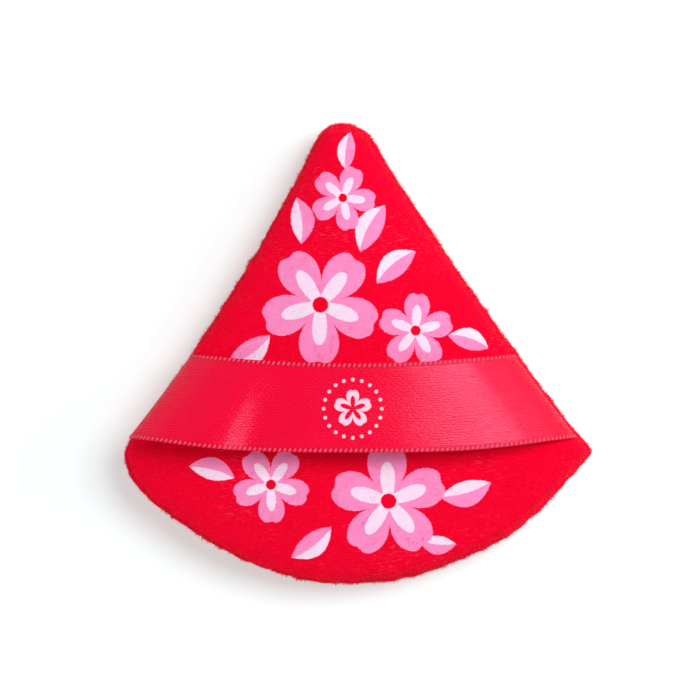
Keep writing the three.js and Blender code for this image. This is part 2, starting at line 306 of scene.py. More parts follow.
def pucker(piece):
    """Draws the rim in unevenly, as the sewing does, and fills it out in places."""
    places = coordinates(piece.data)
    near_seam = np.clip((reach_share(places) - 0.86) / 0.1, 0, 1)
    outwards = places[:, :2] - pattern_middle
    outwards /= np.maximum(np.linalg.norm(outwards, axis=1, keepdims=True), 1e-6)
    for index in np.flatnonzero(near_seam):
        x, y, _ = places[index]
        fold = noise.noise(Vector((x, y, 0)) * wide_folds)
        push = (fold + 0.5 * noise.noise(Vector((y, x, 0)) * narrow_folds)) * pucker_depth
        for middle, spread, amount in full_places:
            push += amount * math.exp(-((math.dist(middle, (x, y)) / spread) ** 2))
        places[index, :2] += outwards[index] * push * near_seam[index]
    place_vertices(piece.data, places)


def ribbon_pull(x, y):
    """How far the ribbon's sewn end draws the right-hand lip in towards the middle."""
    beside = np.exp(-(((y + 7.5 * mm) / (9.5 * mm)) ** 2))
    return 0.05 * mm * beside * np.clip((x - 24 * mm) / (8 * mm), 0, 1)


def give_thickness(piece, thickness):
    """Doubles a skin inwards into cloth, closed at its cut edge."""
    select_only(piece)
    bpy.ops.object.modifier_add(type="SOLIDIFY")
    wall = piece.modifiers["Solidify"]
    wall.thickness = thickness
    wall.offset = -1
    bpy.ops.object.modifier_apply(modifier="Solidify")
    bpy.ops.object.shade_smooth()


def copy_piece(piece, name):
    """A copy with its own mesh."""
    copy = piece.copy()
    copy.data = piece.data.copy()
    copy.name = copy.data.name = name
    bpy.context.scene.collection.objects.link(copy)
    return copy


strap_crown_start = (strap_rim_inset + pile_base, seam_height + strap_lip, 1)
strap_rings = [
    (cut_edge_inset, seam_height, 1),
    ((cut_edge_inset + seam_inset) / 2, seam_height, 1),
    (seam_inset + pile_base, seam_height, 1),
]
strap_rings += lip_rings(strap_rings[-1], strap_crown_start, 4, bulge=True)
strap_rings.append(strap_crown_start)
strap_rise = strap_crown_rise - pile_base
strap_rings += [
    (inset, strap_crown_start[1] + strap_rise * share, 1)
    for inset, share in crown_rings(strap_crown_start[0])
]
strap_cover = extrude_rings("strap_side_panel", strap_rings)
places = coordinates(strap_cover.data)
reach = reach_share(places)
patch = np.arange(len(places)) >= len(strap_rings) * rim_points
level = crown_share(reach, strap_crown_start[0])
places[patch, 2] = strap_crown_start[1] + strap_rise * level[patch]
# the knit lies a little unevenly over the foam
swell_height, swells_per_metre = 0.22 * mm, 90
above_lip = np.clip((places[:, 2] - seam_height) / strap_rise, 0, 1)
for index, (x, y, z) in enumerate(places):
    swell = noise.noise(Vector((x, y, z)) * swells_per_metre) * swell_height
    places[index, 2] += swell * above_lip[index]
place_vertices(strap_cover.data, places)
face_outwards(strap_cover, 1)
billow(strap_cover, pinned_reach=0.93, free_reach=0.86, most=0.5 * mm)
pucker(strap_cover)
places = coordinates(strap_cover.data)
places[:, 0] -= ribbon_pull(places[:, 0], places[:, 1])
place_vertices(strap_cover.data, places)
strap_skin = copy_piece(strap_cover, "strap_side_nap")
give_thickness(strap_cover, cloth_thickness)


# Velour and its print: short dense pile that stands in faint streaks across the knit,
# dyed red, with blossoms and leaves printed on it in two pinks. The pile's sheen on the
# streaks is painted into the colour as lighter dashes and a lighter and darker grain.
def new_group(name, inputs, outputs):
    """A shader node group, with inputs and outputs given as name: kind or default."""
    group = bpy.data.node_groups.new(name, "ShaderNodeTree")
    kinds = {float: "NodeSocketFloat", tuple: "NodeSocketColor", str: "NodeSocketVector"}
    for label, default in inputs.items():
        socket = group.interface.new_socket(
            label, in_out="INPUT", socket_type=kinds[type(default)]
        )
        if not isinstance(default, str):
            socket.default_value = default
    for label, kind in outputs.items():
        group.interface.new_socket(label, in_out="OUTPUT", socket_type=kinds[type(kind)])
    taken = group.nodes.new("NodeGroupInput")
    given = group.nodes.new("NodeGroupOutput")
    return group, taken.outputs, given.inputs


def feed(tree, socket, value):
    """Links a socket to another, or sets its value."""
    if isinstance(value, bpy.types.NodeSocket):
        tree.links.new(value, socket)
    else:
        socket.default_value = value


def add_node(tree, kind, inputs, **settings):
    """A node with these settings, whose inputs are given by name or number."""
    node = tree.nodes.new(kind)
    for label, value in settings.items():
        setattr(node, label, value)
    for label, value in inputs.items():
        feed(tree, node.inputs[label], value)
    return node


def fill_in(tree, node, **values):
    """Feeds a node's inputs, in whose names _ stands for a space."""
    for label, value in values.items():
        feed(tree, node.inputs[label.replace("_", " ")], value)


def sum_up(tree, operation, *values, clamp=False):
    """A Math node's output."""
    node = add_node(tree, "ShaderNodeMath", dict(enumerate(values)), operation=operation,
                    use_clamp=clamp)
    return node.outputs[0]


def blend_colours(tree, share, first, second, kind="MIX"):
    """A Mix node's colour."""
    node = add_node(tree, "ShaderNodeMix", {0: share, 6: first, 7: second},
                    data_type="RGBA", blend_type=kind)
    return node.outputs[2]


def stretch(tree, vector, scale=(1, 1, 1), turn=(0, 0, 0)):
    """A vector that is stretched and turned."""
    inputs = {"Vector": vector, "Scale": scale, "Rotation": turn}
    return add_node(tree, "ShaderNodeMapping", inputs).outputs[0]


def grain(tree, vector, scale, detail=2.0, roughness=0.5):
    """Cloudy noise from 0 to 1."""
    inputs = {"Vector": vector, "Scale": scale, "Detail": detail, "Roughness": roughness}
    return add_node(tree, "ShaderNodeTexNoise", inputs).outputs["Fac"]


def between(tree, value, low, high):
    """Rises from 0 to 1 as value goes from low to high."""
    inputs = {"Value": value, "From Min": low, "From Max": high}
    node = add_node(tree, "ShaderNodeMapRange", inputs, interpolation_type="SMOOTHSTEP")
    return node.outputs["Result"]


def split_up(tree, vector):
    """A vector's or a colour's three parts."""
    return add_node(tree, "ShaderNodeSeparateXYZ", {0: vector}).outputs


def length_of(tree, across, along):
    """The length of a way that goes so far across and so far along."""
    squares = sum_up(tree, "MULTIPLY_ADD", across, across,
                     sum_up(tree, "MULTIPLY", along, along))
    return sum_up(tree, "SQRT", squares)


def use_group(tree, group, **values):
    """The outputs of a group that is placed with these values."""
    node = add_node(tree, "ShaderNodeGroup", {}, node_tree=group)
    fill_in(tree, node, **values)
    return node.outputs


# one blossom of five notched petals, with a narrower second colour and an eye
blossom, taken, given = new_group(
    "blossom",
    {"X": 0.0, "Y": 0.0, "Middle X": 0.0, "Middle Y": 0.0, "Radius": 0.01, "Turn": 0.0},
    {"Petals": 0.0, "Hearts": 0.0, "Eye": 0.0},
)
across = sum_up(blossom, "SUBTRACT", taken["X"], taken["Middle X"])
along = sum_up(blossom, "SUBTRACT", taken["Y"], taken["Middle Y"])
distance = sum_up(blossom, "DIVIDE", length_of(blossom, across, along), taken["Radius"])
angle = sum_up(blossom, "ADD", sum_up(blossom, "ARCTAN2", along, across), taken["Turn"])
lobe = sum_up(blossom, "ABSOLUTE",
              sum_up(blossom, "COSINE", sum_up(blossom, "MULTIPLY", angle, 2.5)))
notch = sum_up(blossom, "POWER", lobe, 24.0)
petal_edge = sum_up(blossom, "POWER", lobe, 0.55)
petal_edge = sum_up(blossom, "MULTIPLY_ADD", petal_edge, 0.68, 0.32)
petal_edge = sum_up(blossom, "MULTIPLY_ADD", notch, -0.07, petal_edge)
heart_edge = sum_up(blossom, "MULTIPLY_ADD", sum_up(blossom, "POWER", lobe, 2.2), 0.5, 0.16)
softness = sum_up(blossom, "DIVIDE", 0.07 * mm, taken["Radius"])
for label, edge in (("Petals", petal_edge), ("Hearts", heart_edge), ("Eye", 0.13)):
    inside = sum_up(blossom, "SUBTRACT", edge, distance)
    inside = sum_up(blossom, "DIVIDE", inside, softness)
    share = sum_up(blossom, "MULTIPLY_ADD", inside, 0.5, 0.5, clamp=True)
    blossom.links.new(share, given[label])

# one pointed leaf from its stalk's end, with its second colour on one side of the vein
leaf, taken, given = new_group(
    "leaf",
    {"X": 0.0, "Y": 0.0, "Stalk X": 0.0, "Stalk Y": 0.0, "Length": 0.01, "Width": 0.003,
     "Cosine": 1.0, "Sine": 0.0, "Bend": 0.3},
    {"Blade": 0.0, "Half": 0.0},
)
across = sum_up(leaf, "SUBTRACT", taken["X"], taken["Stalk X"])
along = sum_up(leaf, "SUBTRACT", taken["Y"], taken["Stalk Y"])
forward = sum_up(leaf, "MULTIPLY_ADD", across, taken["Cosine"],
                 sum_up(leaf, "MULTIPLY", along, taken["Sine"]))
aside = sum_up(leaf, "SUBTRACT", sum_up(leaf, "MULTIPLY", along, taken["Cosine"]),
               sum_up(leaf, "MULTIPLY", across, taken["Sine"]))
forward = sum_up(leaf, "DIVIDE", forward, taken["Length"])
aside = sum_up(leaf, "DIVIDE", aside, taken["Width"])
arc = sum_up(leaf, "MULTIPLY", forward, sum_up(leaf, "SUBTRACT", 1.0, forward))
aside = sum_up(leaf, "SUBTRACT", aside,
               sum_up(leaf, "MULTIPLY", arc, sum_up(leaf, "MULTIPLY", taken["Bend"], 4.0)))
edge = sum_up(leaf, "MULTIPLY", arc, 4.0)
softness = sum_up(leaf, "DIVIDE", 0.07 * mm, taken["Width"])
inside = sum_up(leaf, "DIVIDE",
                sum_up(leaf, "SUBTRACT", edge, sum_up(leaf, "ABSOLUTE", aside)), softness)
blade = sum_up(leaf, "MULTIPLY_ADD", inside, 0.5, 0.5, clamp=True)
side = sum_up(leaf, "MULTIPLY_ADD",
              sum_up(leaf, "DIVIDE", sum_up(leaf, "SUBTRACT", aside, 0.08), softness), 0.5,
              0.5, clamp=True)
leaf.links.new(blade, given["Blade"])
leaf.links.new(sum_up(leaf, "MULTIPLY", blade, side), given["Half"])

# the whole print on the panel: (x, y, radius, turn) and (x, y, length, width, turn, bend)
printed_blossoms = [
    (-6.4, 8.2, 10.4, 0.35),
    (9.8, 3.8, 6.6, 1.0),
    (-2.6, 26.4, 5.8, 0.1),
    (5.2, -25.2, 10.2, 0.9),
    (-14.8, -22.4, 6.8, 0.3),
]
printed_leaves = [
    (0.4, 17.2, 9.0, 2.2, 62, 0.3),
    (-9.6, 18.6, 8.0, 2.0, 96, -0.3),
    (3.2, 11.8, 8.6, 2.1, 40, 0.3),
    (-2.0, 31.2, 6.6, 1.5, 84, 0.25),
    (-15.0, 3.0, 9.0, 2.1, 215, 0.3),
    (15.4, 3.0, 7.2, 1.8, -18, 0.3),
    (14.0, -24.6, 9.0, 2.2, 16, -0.3),
    (-4.6, -29.6, 8.6, 2.0, 218, 0.3),
    (-21.0, -21.2, 8.0, 1.9, 166, -0.3),
    (10.4, -32.0, 6.4, 1.6, -6, -0.3),
]
velour, taken, given = new_group(
    "velour",
    {"Position": "", "Ground": (0.91, 0.0007, 0.029, 1), "Lit streaks": (1, 0.08, 0.15, 1),
     "Mid pink": (0.98, 0.285, 0.58, 1), "Pale pink": (0.97, 0.75, 0.91, 1), "Print": 1.0},
    {"Colour": (), "Height": 0.0},
)
position = taken["Position"]
wander = add_node(velour, "ShaderNodeTexNoise", {"Vector": position, "Scale": 3200})
print_fray = 0.35 * mm
x, y = (
    sum_up(velour, "SUBTRACT", sum_up(velour, "MULTIPLY_ADD", astray, print_fray, straight),
           print_fray / 2)
    for astray, straight in zip(split_up(velour, wander.outputs["Color"])[:2],
                                split_up(velour, position)[:2])
)
# painted sheen: the pile's streaks are painted as lighter dashes in patches, in the Lit
# streaks colour
streaks = grain(velour, stretch(velour, position, (0.22, 1, 0.6)), 4000, 2.0, 0.6)
sheen_patches = between(velour, grain(velour, position, 75), 0.47, 0.66)
painted_sheen_dashes = between(velour, streaks, 0.56, 0.74)
lit = sum_up(velour, "MULTIPLY", painted_sheen_dashes, sum_up(velour, "MULTIPLY_ADD", sheen_patches, 0.4, 0.08))
colour = blend_colours(velour, lit, taken["Ground"], taken["Lit streaks"])
inks = [taken["Mid pink"], taken["Pale pink"]]
for stalk_x, stalk_y, length, width, degrees, bend in printed_leaves:
    turn = math.radians(degrees)
    found = use_group(velour, leaf, X=x, Y=y, Stalk_X=stalk_x * mm, Stalk_Y=stalk_y * mm,
                      Length=length * mm, Width=width * mm, Cosine=math.cos(turn),
                      Sine=math.sin(turn), Bend=bend)
    for share, ink in zip((found["Blade"], found["Half"]), inks):
        share = sum_up(velour, "MULTIPLY", share, taken["Print"])
        colour = blend_colours(velour, share, colour, ink)
for middle_x, middle_y, radius, turn in printed_blossoms:
    found = use_group(velour, blossom, X=x, Y=y, Middle_X=middle_x * mm,
                      Middle_Y=middle_y * mm, Radius=radius * mm, Turn=turn)
    for share, ink in zip((found["Petals"], found["Hearts"], found["Eye"]),
                          (*inks, taken["Ground"])):
        share = sum_up(velour, "MULTIPLY", share, taken["Print"])
        colour = blend_colours(velour, share, colour, ink)
# painted sheen and shade: the streaks also make every colour up to 11% lighter or darker
shade = sum_up(velour, "MULTIPLY_ADD", streaks, 0.22, 0.89)
painted_shade_grey = add_node(velour, "ShaderNodeCombineColor", {0: shade, 1: shade, 2: shade})
colour = blend_colours(velour, 1.0, colour, painted_shade_grey.outputs[0], "MULTIPLY")
velour.links.new(colour, given["Colour"])
tufts = grain(velour, stretch(velour, position, (0.6, 1, 1)), 3000, 3.0, 0.65)
lay = grain(velour, position, 260)
velour.links.new(sum_up(velour, "MULTIPLY_ADD", lay, 1.5, tufts), given["Height"])


def new_material(name):
    """A new material, its tree, its shader and the place on the piece."""
    material = bpy.data.materials.new(name)
    material.use_nodes = True
    tree = material.node_tree
    position = tree.nodes.new("ShaderNodeTexCoord").outputs["Object"]
    return material, tree, tree.nodes["Principled BSDF"], position


def rise(tree, shader, height, distance, strength=1.0):
    """Bumps a shader's surface by a height."""
    bump = add_node(tree, "ShaderNodeBump",
                    {"Height": height, "Distance": distance, "Strength": strength})
    tree.links.new(bump.outputs[0], shader.inputs["Normal"])


def velour_material(name, printed):
    material, tree, shader, position = new_material(name)
    cloth = use_group(tree, velour, Position=position, Print=printed)
    fill_in(tree, shader, Base_Color=cloth["Colour"], Roughness=0.95,
            Specular_IOR_Level=0.02, Sheen_Weight=0.08, Sheen_Roughness=0.35,
            Sheen_Tint=(1, 0.3, 0.42, 1))
    rise(tree, shader, cloth["Height"], 0.12 * mm, 0.6)
    return material


printed_velour = velour_material("printed_velour", 1.0)
plain_velour = velour_material("plain_velour", 0.0)
strap_cover.data.materials.append(printed_velour)
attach(strap_cover, "puff")
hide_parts("strap_side_cover")


# Cover on the powder's side, of the same velour without the print. It is a little
# larger, so that the seam rolls inwards over it, and it lies pressed flat on the table.
powder_rim_height = 4.9 * mm
powder_depth = 5.4 * mm
resting_height = 0.25 * mm
powder_seam = (seam_inset + pile_base, seam_height, 1)
powder_rim = (pile_base, powder_rim_height, 0)
powder_rings = [
    (cut_edge_inset, seam_height, 1),
    ((cut_edge_inset + seam_inset) / 2, seam_height, 1),
    powder_seam,
]
powder_rings += lip_rings(powder_rim, powder_seam, 5, bulge=False)[::-1]
powder_rings.append(powder_rim)
powder_rings += [
    (inset, max(resting_height, powder_rim_height - powder_depth * share), 0)
    for inset, share in crown_rings(pile_base)
]
powder_cover = extrude_rings("powder_side_panel", powder_rings)
places = coordinates(powder_cover.data)
patch = np.arange(len(places)) >= len(powder_rings) * rim_points
places[patch, 2] = resting_height
place_vertices(powder_cover.data, places)
face_outwards(powder_cover, -1)
billow(powder_cover, pinned_reach=0.99, free_reach=0.93, most=0.35 * mm)
pucker(powder_cover)
places = coordinates(powder_cover.data)
places[:, 2] = np.maximum(places[:, 2], 0.1 * mm)
place_vertices(powder_cover.data, places)
powder_skin = copy_piece(powder_cover, "powder_side_nap")
give_thickness(powder_cover, cloth_thickness)
powder_cover.data.materials.append(plain_velour)
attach(powder_cover, "puff")
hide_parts("powder_side_cover")


# Pile of both covers. The ends of the cut loops stand up from the knit as short
# tapered fibres, and at the seam, where the cloth turns, they spread into a fringe.
ribbon_ends_y = (-15.6 * mm, 0.9 * mm)
fringe_bottom = 4.2 * mm
# strips along the rim, as shares of the reach
seam_strip, lip_strip = 0.09, 0.02


def spin_fibre(name, length, radius):
    """One tapered fibre, with its foot at the origin."""
    bpy.ops.object.select_all(action="DESELECT")
    bpy.ops.mesh.primitive_cone_add(
        vertices=3, radius1=radius, radius2=0, depth=length, location=(0, 0, 0)
    )
    fibre = bpy.context.object
    fibre.name = fibre.data.name = name
    fibre.data.transform(Matrix.Translation((0, 0, length / 2)))
    tip = fibre.data.attributes.new("tip", "FLOAT", "POINT")
    for vertex, value in zip(fibre.data.vertices, tip.data):
        value.value = vertex.co.z / length
    return fibre


def raise_pile(skin, name, fibre, density, lean, seed, material):
    """Stands fibres on a skin, where its "pile" attribute is more than 0."""
    tree = bpy.data.node_groups.new(name, "GeometryNodeTree")
    tree.is_modifier = True
    for side in ("INPUT", "OUTPUT"):
        tree.interface.new_socket("Geometry", in_out=side, socket_type="NodeSocketGeometry")
    start = tree.nodes.new("NodeGroupInput")
    wanted = add_node(tree, "GeometryNodeInputNamedAttribute", {"Name": "pile"},
                      data_type="FLOAT")
    crowd = sum_up(tree, "MULTIPLY", wanted.outputs["Attribute"], density)
    scatter = add_node(tree, "GeometryNodeDistributePointsOnFaces",
                       {"Mesh": start.outputs[0], "Density": crowd, "Seed": seed})
    astray = np.array((0.55, 0.55, 0.35))
    spread = add_node(tree, "FunctionNodeRandomValue",
                      {0: tuple(lean - astray), 1: tuple(lean + astray), "Seed": seed + 1},
                      data_type="FLOAT_VECTOR")
    way = add_node(tree, "ShaderNodeVectorMath",
                   {0: scatter.outputs["Normal"], 1: spread.outputs[0]}, operation="ADD")
    aim = add_node(tree, "FunctionNodeAlignRotationToVector", {"Vector": way.outputs[0]},
                   axis="Z")
    size = add_node(tree, "FunctionNodeRandomValue", {2: 0.55, 3: 1.25, "Seed": seed + 2},
                    data_type="FLOAT")
    clumps = add_node(tree, "ShaderNodeTexNoise", {"Scale": 620, "Detail": 1})
    longer = add_node(tree, "ShaderNodeMapRange",
                      {"Value": clumps.outputs["Fac"], "From Min": 0.35, "From Max": 0.65,
                       "To Min": 0.55, "To Max": 1.4})
    grown = sum_up(tree, "MULTIPLY", size.outputs[1], longer.outputs["Result"])
    stock = add_node(tree, "GeometryNodeObjectInfo", {"Object": fibre})
    stand = add_node(tree, "GeometryNodeInstanceOnPoints",
                     {"Points": scatter.outputs["Points"], "Scale": grown,
                      "Instance": stock.outputs["Geometry"], "Rotation": aim.outputs[0]})
    real = add_node(tree, "GeometryNodeRealizeInstances", {0: stand.outputs[0]})
    add_node(tree, "NodeGroupOutput", {0: real.outputs[0]})
    pile = copy_piece(skin, name)
    select_only(pile)
    bpy.ops.object.modifier_add(type="NODES")
    pile.modifiers[-1].node_group = tree
    bpy.ops.object.modifier_apply(modifier=pile.modifiers[-1].name)
    # the table presses what would reach below it
    ends = coordinates(pile.data)
    ends[:, 2] = np.maximum(ends[:, 2], 0.02 * mm)
    place_vertices(pile.data, ends)
    pile.data.materials.clear()
    pile.data.materials.append(material)
    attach(pile, "puff")
    return pile


def mark_pile(skin, amounts):
    attribute = skin.data.attributes.get("pile") or skin.data.attributes.new(
        "pile", "FLOAT", "POINT"
    )
    attribute.data.foreach_set("value", np.asarray(amounts, dtype=np.float32))


def fibre_material(name, printed, painted_root_shade, lit_see_through_tips):
    """Velour fibres, with painted shade darkening their roots and painted light paling
    their tips, whose fine tips can also let the light through.
    """
    material, tree, shader, position = new_material(name)
    cloth = use_group(tree, velour, Position=position, Print=printed)
    height = add_node(tree, "ShaderNodeAttribute", {}, attribute_name="tip").outputs["Fac"]
    # painted shade: the roots are darkened towards a deep red
    shaded = sum_up(tree, "MULTIPLY_ADD", between(tree, height, 0.0, 0.45), -painted_root_shade,
                    painted_root_shade)
    colour = blend_colours(tree, shaded, cloth["Colour"], (0.3, 0, 0.07, 1))
    # painted light: the tips are paled towards pink, slightly on all fibres and strongly on
    # see-through tips
    lit = sum_up(tree, "MULTIPLY", height, 0.06 + 1.2 * lit_see_through_tips)
    colour = blend_colours(tree, lit, colour, (1, 0.5, 0.6, 1))
    if lit_see_through_tips:
        solid = between(tree, height, 0.1, 0.7)
        solid = sum_up(tree, "MULTIPLY_ADD", solid, -lit_see_through_tips, 1.0)
        tree.links.new(solid, shader.inputs["Alpha"])
    fill_in(tree, shader, Base_Color=colour, Roughness=0.8, Specular_IOR_Level=0.02,
            Sheen_Weight=0.08 + 0.6 * lit_see_through_tips,
            Sheen_Tint=(1, 0.3 + 0.5 * lit_see_through_tips, 0.42 + 0.4 * lit_see_through_tips, 1))
    return material


# the lip's fibres carry painted shade at their roots; the fringe's fibres carry painted
# shade at their roots and painted light on their tips
printed_fibres = fibre_material("printed_fibres", 1.0, 0.0, 0.0)
plain_fibres = fibre_material("plain_fibres", 0.0, 0.0, 0.0)
lip_fibres = fibre_material("lip_fibres", 1.0, 0.3, 0.0)
fringe_fibres = fibre_material("fringe_fibres", 0.0, 0.4, 0.6)
short_fibre = spin_fibre("short_fibre", 0.28 * mm, 0.045 * mm)
lip_fibre = spin_fibre("lip_fibre", 0.34 * mm, 0.04 * mm)
long_fibre = spin_fibre("long_fibre", 0.5 * mm, 0.045 * mm)

places = coordinates(strap_skin.data)
reach = reach_share(places)
rim = 1 - strap_rim_inset / pattern_radius
under_ribbon = (places[:, 1] > ribbon_ends_y[0]) & (places[:, 1] < ribbon_ends_y[1])
near_seam = reach > rim - seam_strip
shown = places[:, 2] > seam_height + 0.1 * mm
mark_pile(strap_skin, shown & ~(under_ribbon & near_seam))
raise_pile(strap_skin, "strap_side_pile", short_fibre, density=9e6, lean=(0.1, -0.25, 0),
           seed=3, material=printed_fibres)
mark_pile(strap_skin, shown & ~under_ribbon & (reach > rim - lip_strip))
raise_pile(strap_skin, "strap_side_fringe", lip_fibre, density=8e6, lean=(0, 0, 0.5),
           seed=11, material=lip_fibres)
places = coordinates(powder_skin.data)
shown = places[:, 2] < seam_height - 0.05 * mm
mark_pile(powder_skin, shown)
raise_pile(powder_skin, "powder_side_pile", short_fibre, density=8e6, lean=(0, 0, 0),
           seed=23, material=plain_fibres)
mark_pile(powder_skin, shown & (places[:, 2] > fringe_bottom))
raise_pile(powder_skin, "powder_side_fringe", long_fibre, density=9e6, lean=(0, 0, 0),
           seed=31, material=fringe_fibres)
for spare in (strap_skin, powder_skin, short_fibre, lip_fibre, long_fibre):
    bpy.data.objects.remove(spare)


# Foam core: a pad of soft polyurethane sponge, cut to the pattern and squeezed in
# behind the seam allowance, which presses a slot into its edge.
foam_bottom = 1.5 * mm
foam_rim_inset = 3.5 * mm
foam_slot_inset = 7.3 * mm
foam_slot_half = 1.9 * mm
foam_rise = 5.6 * mm
foam_sink = seam_height - foam_bottom
foam_rings = [
    (inset, max(foam_bottom, seam_height - (foam_sink + 0.5 * mm) * share), 1)
    for inset, share in crown_rings(foam_rim_inset)
][::-1]
foam_rings = [ring for ring in foam_rings if ring[1] < seam_height - foam_slot_half]
foam_rings += [
    (foam_rim_inset + 0.1 * mm, seam_height - foam_slot_half, 1),
    (foam_slot_inset, seam_height - foam_slot_half, 1),
    (foam_slot_inset, seam_height + foam_slot_half, 1),
    (foam_rim_inset + 0.1 * mm, seam_height + foam_slot_half, 1),
]
foam_rings += [
    (inset, seam_height + foam_rise * share, 1)
    for inset, share in crown_rings(foam_rim_inset)
    if seam_height + foam_rise * share > seam_height + foam_slot_half
]
foam = extrude_rings("sponge_pad", foam_rings, close_start=True)
places = coordinates(foam.data)
reach = reach_share(places)
patch = np.arange(len(places)) >= len(foam_rings) * rim_points
upper = patch & (places[:, 2] > seam_height)
level = crown_share(reach, foam_rim_inset)
places[upper, 2] = seam_height + foam_rise * level[upper]
place_vertices(foam.data, places)
select_only(foam)
bpy.ops.object.shade_smooth()
sponge, tree, shader, position = new_material("open_cell_sponge")
cells = add_node(tree, "ShaderNodeTexVoronoi", {"Scale": 1900, "Vector": position},
                 feature="SMOOTH_F1")
depth = between(tree, cells.outputs["Distance"], 0.15, 0.75)
cloud = grain(tree, position, 140, 3.0)
# painted shade in the sponge's pores: their hollows are darkened, on a cloudy tone of the
# sponge
tone_and_pore_shade = sum_up(tree, "MULTIPLY_ADD", cloud, 0.3, sum_up(tree, "MULTIPLY", depth, 0.6))
fill_in(tree, shader,
        Base_Color=blend_colours(tree, tone_and_pore_shade, (0.62, 0.5, 0.42, 1), (0.93, 0.82, 0.74, 1)),
        Roughness=sum_up(tree, "MULTIPLY_ADD", cloud, -0.1, 0.95))
rise(tree, shader, depth, 0.25 * mm)
foam.data.materials.append(sponge)
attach(foam, "puff")
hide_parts("foam_core")


# Finger ribbon: one length of 15 mm double-faced satin ribbon, woven in polyester. Its
# tails are sewn into the seam, it turns up round the cover's lip at both sides and
# stands over the crown in a loose arch that sags towards the bowed edge.
ribbon_thickness = 0.25 * mm
ribbon_tail = 5 * mm
ribbon_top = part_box("finger_ribbon")[1][2] - 0.15 * mm
left_arch_powers = (3.4, 2.5)
right_arch_power = 2.35
edge_y = (-14.55 * mm, -0.35 * mm)
middle_y = (-16.75 * mm, -1.8 * mm)
sag_powers = ((3.5, 1.8), (2.0, 1.2))
left_turns = (0.95 * mm, 0.45 * mm)
right_turn = 0.35 * mm
ripple_height = 0.3 * mm
edge_lean = 1.3 * mm
# a soft buckle near the left foot: its place at the bowed edge and at the other, its
# width, and how strongly it sinks on its right and rises on its left
buckle_x = (-22.6 * mm, -16.6 * mm)
buckle_width = 6.2 * mm
buckle_sink, buckle_crest = 2.7 * mm, 1.3 * mm
strands_across = 14
arch_steps = 120
turn_steps = 8
tail_steps = 6


def rim_crossing(y, side):
    """Where the strap side's rim crosses a line across the puff."""
    rim = draw_ring(strap_rim_inset)
    after = np.roll(rim, -1, axis=0)
    crossed = (rim[:, 1] - y) * (after[:, 1] - y) <= 0
    share = (y - rim[crossed, 1]) / (after[crossed, 1] - rim[crossed, 1])
    found = rim[crossed, 0] + (after[crossed, 0] - rim[crossed, 0]) * share
    return found.min() if side < 0 else found.max()


def ribbon_line(across):
    """One lengthwise line of the ribbon's middle layer, at a share of its width."""
    start_y = edge_y[0] + (edge_y[1] - edge_y[0]) * across
    deep_y = middle_y[0] + (middle_y[1] - middle_y[0]) * across
    powers = [low + (high - low) * across for low, high in zip(*sag_powers)]
    left, right = rim_crossing(start_y, -1), rim_crossing(start_y, 1)
    right -= ribbon_pull(right, start_y)
    left_turn = left_turns[0] + (left_turns[1] - left_turns[0]) * across
    left_power = left_arch_powers[0] + (left_arch_powers[1] - left_arch_powers[0]) * across
    tail_height = seam_height + ribbon_thickness / 2
    ends = []
    for side, rim_x, turn in ((-1, left, left_turn), (1, right, right_turn)):
        tail = [(rim_x - side * ribbon_tail * (1 - i / tail_steps), start_y, tail_height)
                for i in range(tail_steps + 1)]
        bend = []
        for i in range(1, turn_steps):
            angle = math.pi / 2 * i / turn_steps
            bend.append((rim_x + side * turn * math.sin(angle), start_y,
                         tail_height + turn * (1 - math.cos(angle))))
        ends.append(tail + bend)
    foot = [tail_height + turn for turn in (left_turn, right_turn)]
    first, last = left - left_turn, right + right_turn
    arch = []
    for i in range(arch_steps + 1):
        angle = math.pi * i / arch_steps
        power = left_power if angle < math.pi / 2 else right_arch_power
        reach = -math.copysign(abs(math.cos(angle)) ** (2 / power), math.cos(angle))
        base = foot[0] if reach < 0 else foot[1]
        height = base + (ribbon_top - base) * math.sin(angle) ** (2 / power)
        sag = (1 - abs(reach) ** powers[0]) ** powers[1]
        x = (first + last) / 2 + (last - first) / 2 * reach
        ripple = noise.noise(Vector((x * 60, across * 1.4, 3.1))) * ripple_height
        aside = x - buckle_x[0] - (buckle_x[1] - buckle_x[0]) * across
        aside /= buckle_width
        depth = buckle_sink if aside > 0 else buckle_crest
        ripple -= depth * aside * math.exp(-(aside ** 2) - ((across - 0.2) / 0.5) ** 2)
        # the bowed edge's side stands a little higher than the other
        lean = (0.5 - across) * edge_lean
        arch.append((x, start_y + (deep_y - start_y) * sag,
                     height + lean * math.sin(angle) + ripple * math.sin(angle) ** 1.5))
    return np.array(ends[0] + arch + ends[1][::-1])


lines = np.array([ribbon_line(j / strands_across) for j in range(strands_across + 1)])
steps_along = lines.shape[1] - 1
bpy.ops.object.select_all(action="DESELECT")
bpy.ops.mesh.primitive_grid_add(
    x_subdivisions=steps_along, y_subdivisions=strands_across, size=1
)
ribbon = bpy.context.object
ribbon.name = ribbon.data.name = "satin_finger_ribbon"
flat = coordinates(ribbon.data)
column = np.rint((flat[:, 0] + 0.5) * steps_along).astype(int)
row = np.rint((flat[:, 1] + 0.5) * strands_across).astype(int)
place_vertices(ribbon.data, lines[row, column])
walked = np.concatenate(
    [np.zeros((strands_across + 1, 1)),
     np.cumsum(np.linalg.norm(np.diff(lines, axis=1), axis=2), axis=1)], axis=1)
lengths = walked[:, -1]
laid_out = walked - lengths[:, None] / 2
weave_map = ribbon.data.uv_layers.active or ribbon.data.uv_layers.new(name="weave")
weave_map.name = "weave"
ribbon_width = 15 * mm
for loop in ribbon.data.loops:
    i, j = column[loop.vertex_index], row[loop.vertex_index]
    weave_map.data[loop.index].uv = (
        laid_out[j, i] / mm, (j / strands_across - 0.5) * ribbon_width / mm
    )
face_outwards(ribbon, 1)
select_only(ribbon)
bpy.ops.object.modifier_add(type="SOLIDIFY")
